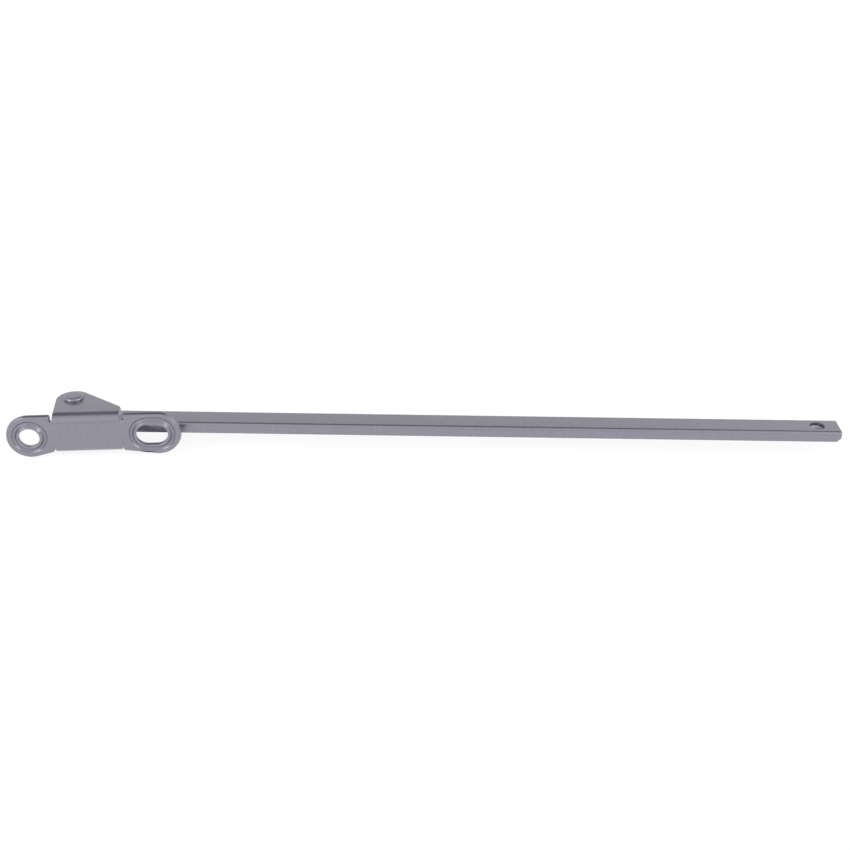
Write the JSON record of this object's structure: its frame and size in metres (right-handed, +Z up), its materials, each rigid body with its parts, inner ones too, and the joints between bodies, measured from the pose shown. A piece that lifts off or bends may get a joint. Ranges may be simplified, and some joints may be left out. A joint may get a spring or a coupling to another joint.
{
  "type": "gate opener arm",
  "caption": "Long folded channel arm swinging on an upright rivet between the ears of a pressed hinge bracket with a fixing hole and a slot.",
  "frame": {"origin": "centre of the bracket's fixing hole on the plane of the plate's front face", "axes": "+X along the plate from the fixing hole towards the slot, +Y back from the plate towards the rivet, +Z up along the rivet"},
  "size_m": [0.6039, 0.071, 0.0362],
  "materials": {
    "silver_grey_paint": "semi-gloss silver-grey metallic paint with a fine speckle",
    "bush_nylon": "black nylon",
    "zinc_plate": "dull zinc plate"
  },
  "bodies": {
    "bracket": {"hinge_bracket": "silver_grey_paint", "pivot_rivet": "silver_grey_paint"},
    "arm": {"arm_channel": "silver_grey_paint", "pivot_sleeve": "silver_grey_paint", "bush_top": "bush_nylon", "bush_bottom": "bush_nylon", "sleeve_weld_top": "silver_grey_paint", "sleeve_weld_bottom": "silver_grey_paint", "end_weld_nut": "zinc_plate"}
  },
  "joints": [
    {"name": "arm_swing", "type": "hinge", "parent": "bracket", "child": "arm", "pos_m": [0.0286, 0.0285, 0], "axis": [0, 0, 1], "range_deg": [-5.5, 200]}
  ]
}
